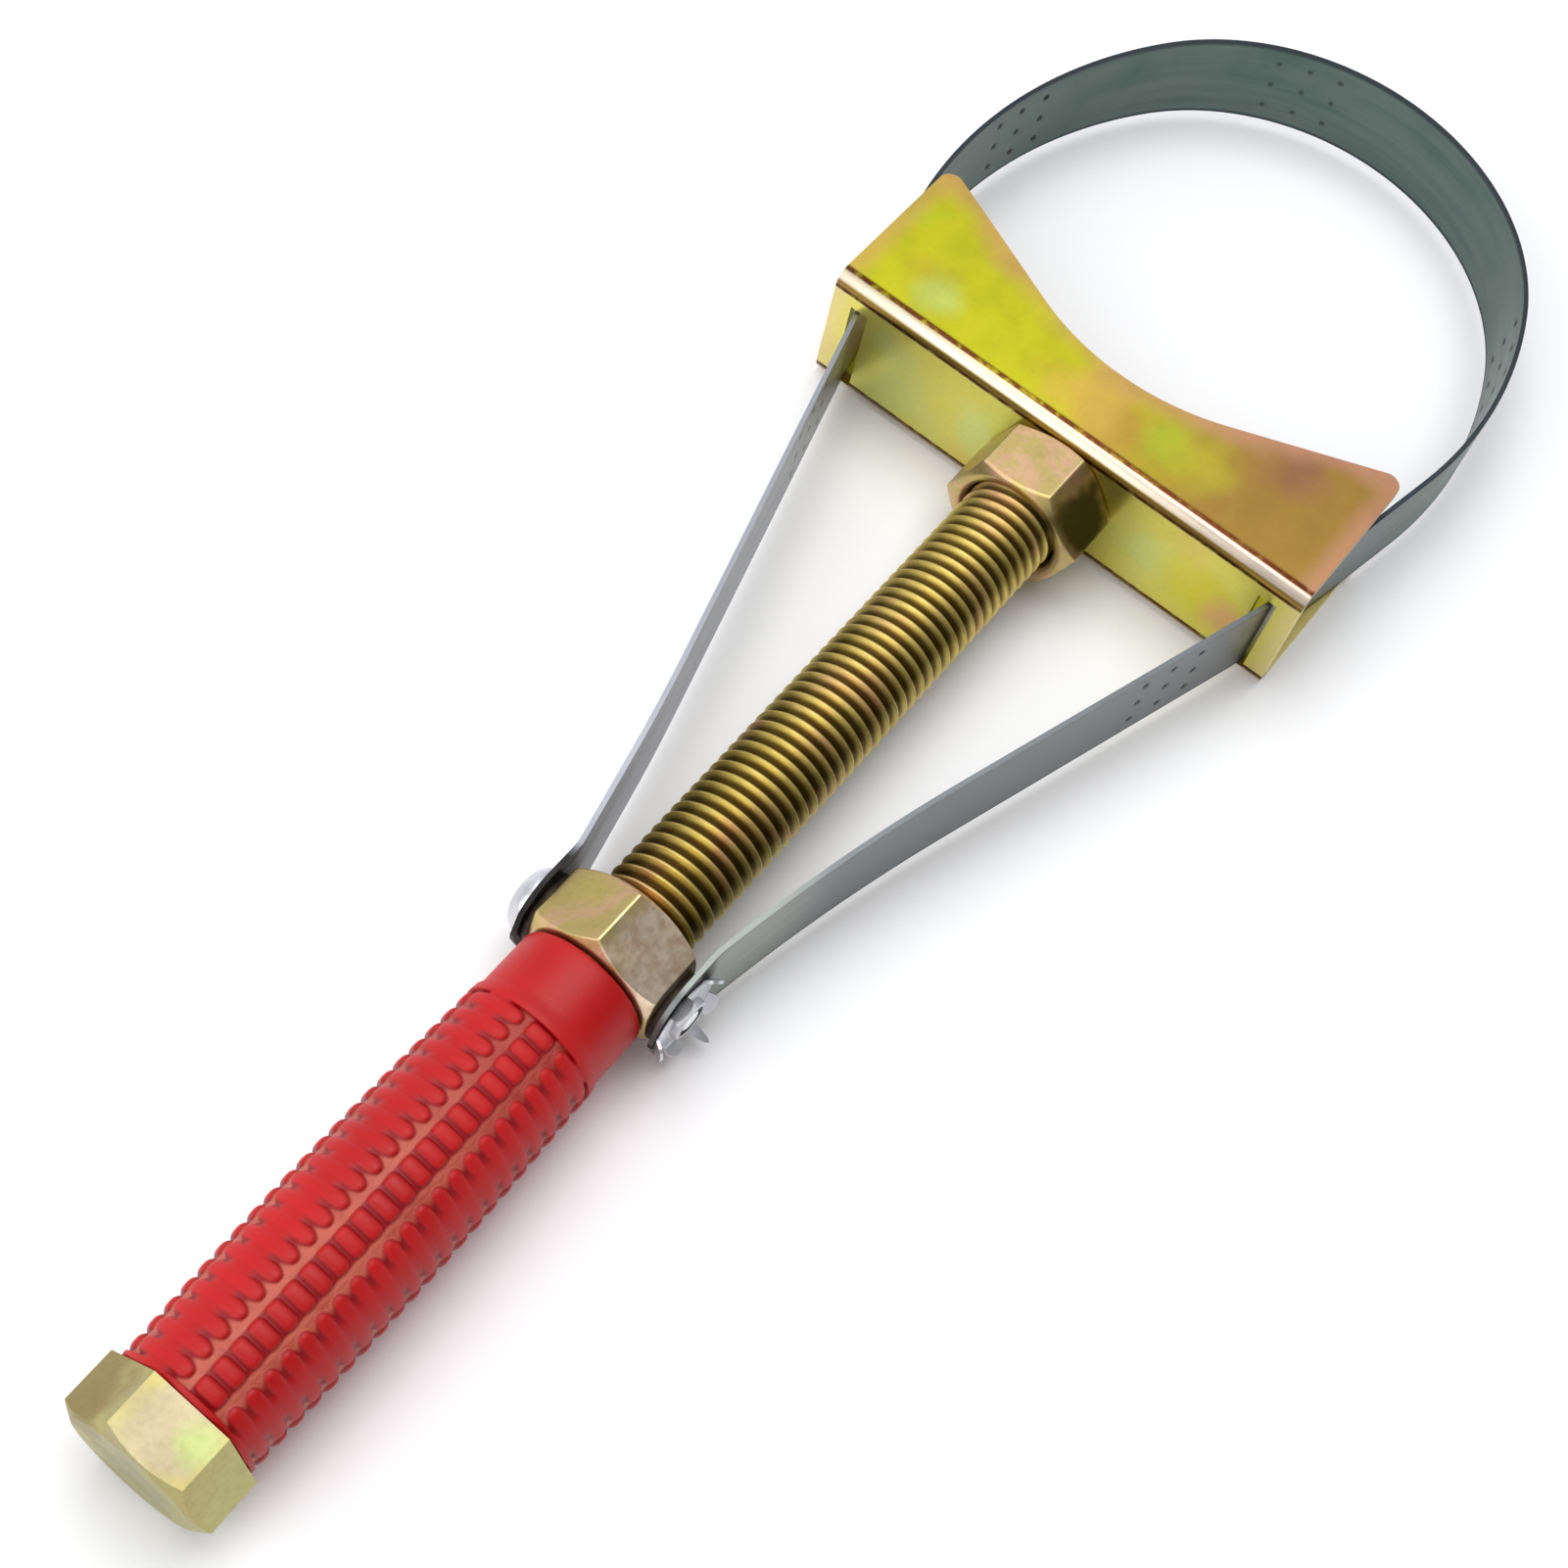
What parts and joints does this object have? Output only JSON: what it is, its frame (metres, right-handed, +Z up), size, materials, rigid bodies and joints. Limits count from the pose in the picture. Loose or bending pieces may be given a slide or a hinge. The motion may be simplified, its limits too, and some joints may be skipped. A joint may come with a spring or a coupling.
{
  "type": "oil filter wrench",
  "caption": "Band-type oil filter wrench: a screw handle with a moulded grip draws a nut and a steel band through a U-shaped saddle to clamp the filter.",
  "frame": {"origin": "middle of the footprint of the tool as it lies flat: centre of the bounding box in X and Y, on the bench in Z", "axes": "+X along the handle from the bolt head towards the band loop, +Y across the saddle, +Z up from the bench, square to the loop"},
  "size_m": [0.3474, 0.109, 0.028],
  "materials": {
    "yellow_zinc": "yellow passivated zinc plate with a faint rainbow sheen",
    "nut_zinc": "yellow passivated zinc plate, duller and tan",
    "bolt_zinc": "yellow passivated zinc plate, brassy on the thread",
    "red_grip": "soft moulded PVC with rows of studs",
    "band_steel": "blued spring steel band, grey-green",
    "silver_zinc": "bright zinc plate",
    "spring_steel": "dark phosphated steel"
  },
  "bodies": {
    "saddle": {"saddle_channel": "yellow_zinc", "socket_hex": "nut_zinc", "thrust_washer": "silver_zinc"},
    "handle": {"handle_bolt": "bolt_zinc", "grip_sleeve": "red_grip", "retaining_washer": "silver_zinc", "retaining_ring": "spring_steel"},
    "nut_carriage": {"travelling_nut": "nut_zinc", "band_spacer_left": "spring_steel", "band_spacer_right": "spring_steel", "tab_lock_washer": "silver_zinc", "band_screw_left": "silver_zinc", "band_screw_right": "silver_zinc", "band_leg_left": "band_steel", "band_leg_right": "band_steel"},
    "strap_band": {"band_loop": "band_steel"}
  },
  "joints": [
    {"name": "handle_turn", "type": "hinge", "parent": "saddle", "child": "handle", "pos_m": [0.0545, 0, 0.014], "axis": [-1, 0, 0], "range_deg": [0, 7200]},
    {"name": "nut_travel", "type": "slide", "parent": "saddle", "child": "nut_carriage", "axis": [1, 0, 0], "range_m": [0, 0.0505], "deforming": ["band_leg_left", "band_leg_right"]},
    {"name": "band_feed", "type": "slide", "parent": "saddle", "child": "strap_band", "axis": [1, 0, 0], "range_m": [0, 0.0445]}
  ],
  "couplings": [
    {"joint": "nut_travel", "follows": "handle_turn", "m_per_rad": 0.00039789},
    {"joint": "band_feed", "follows": "handle_turn", "m_per_rad": 0.00035014}
  ]
}
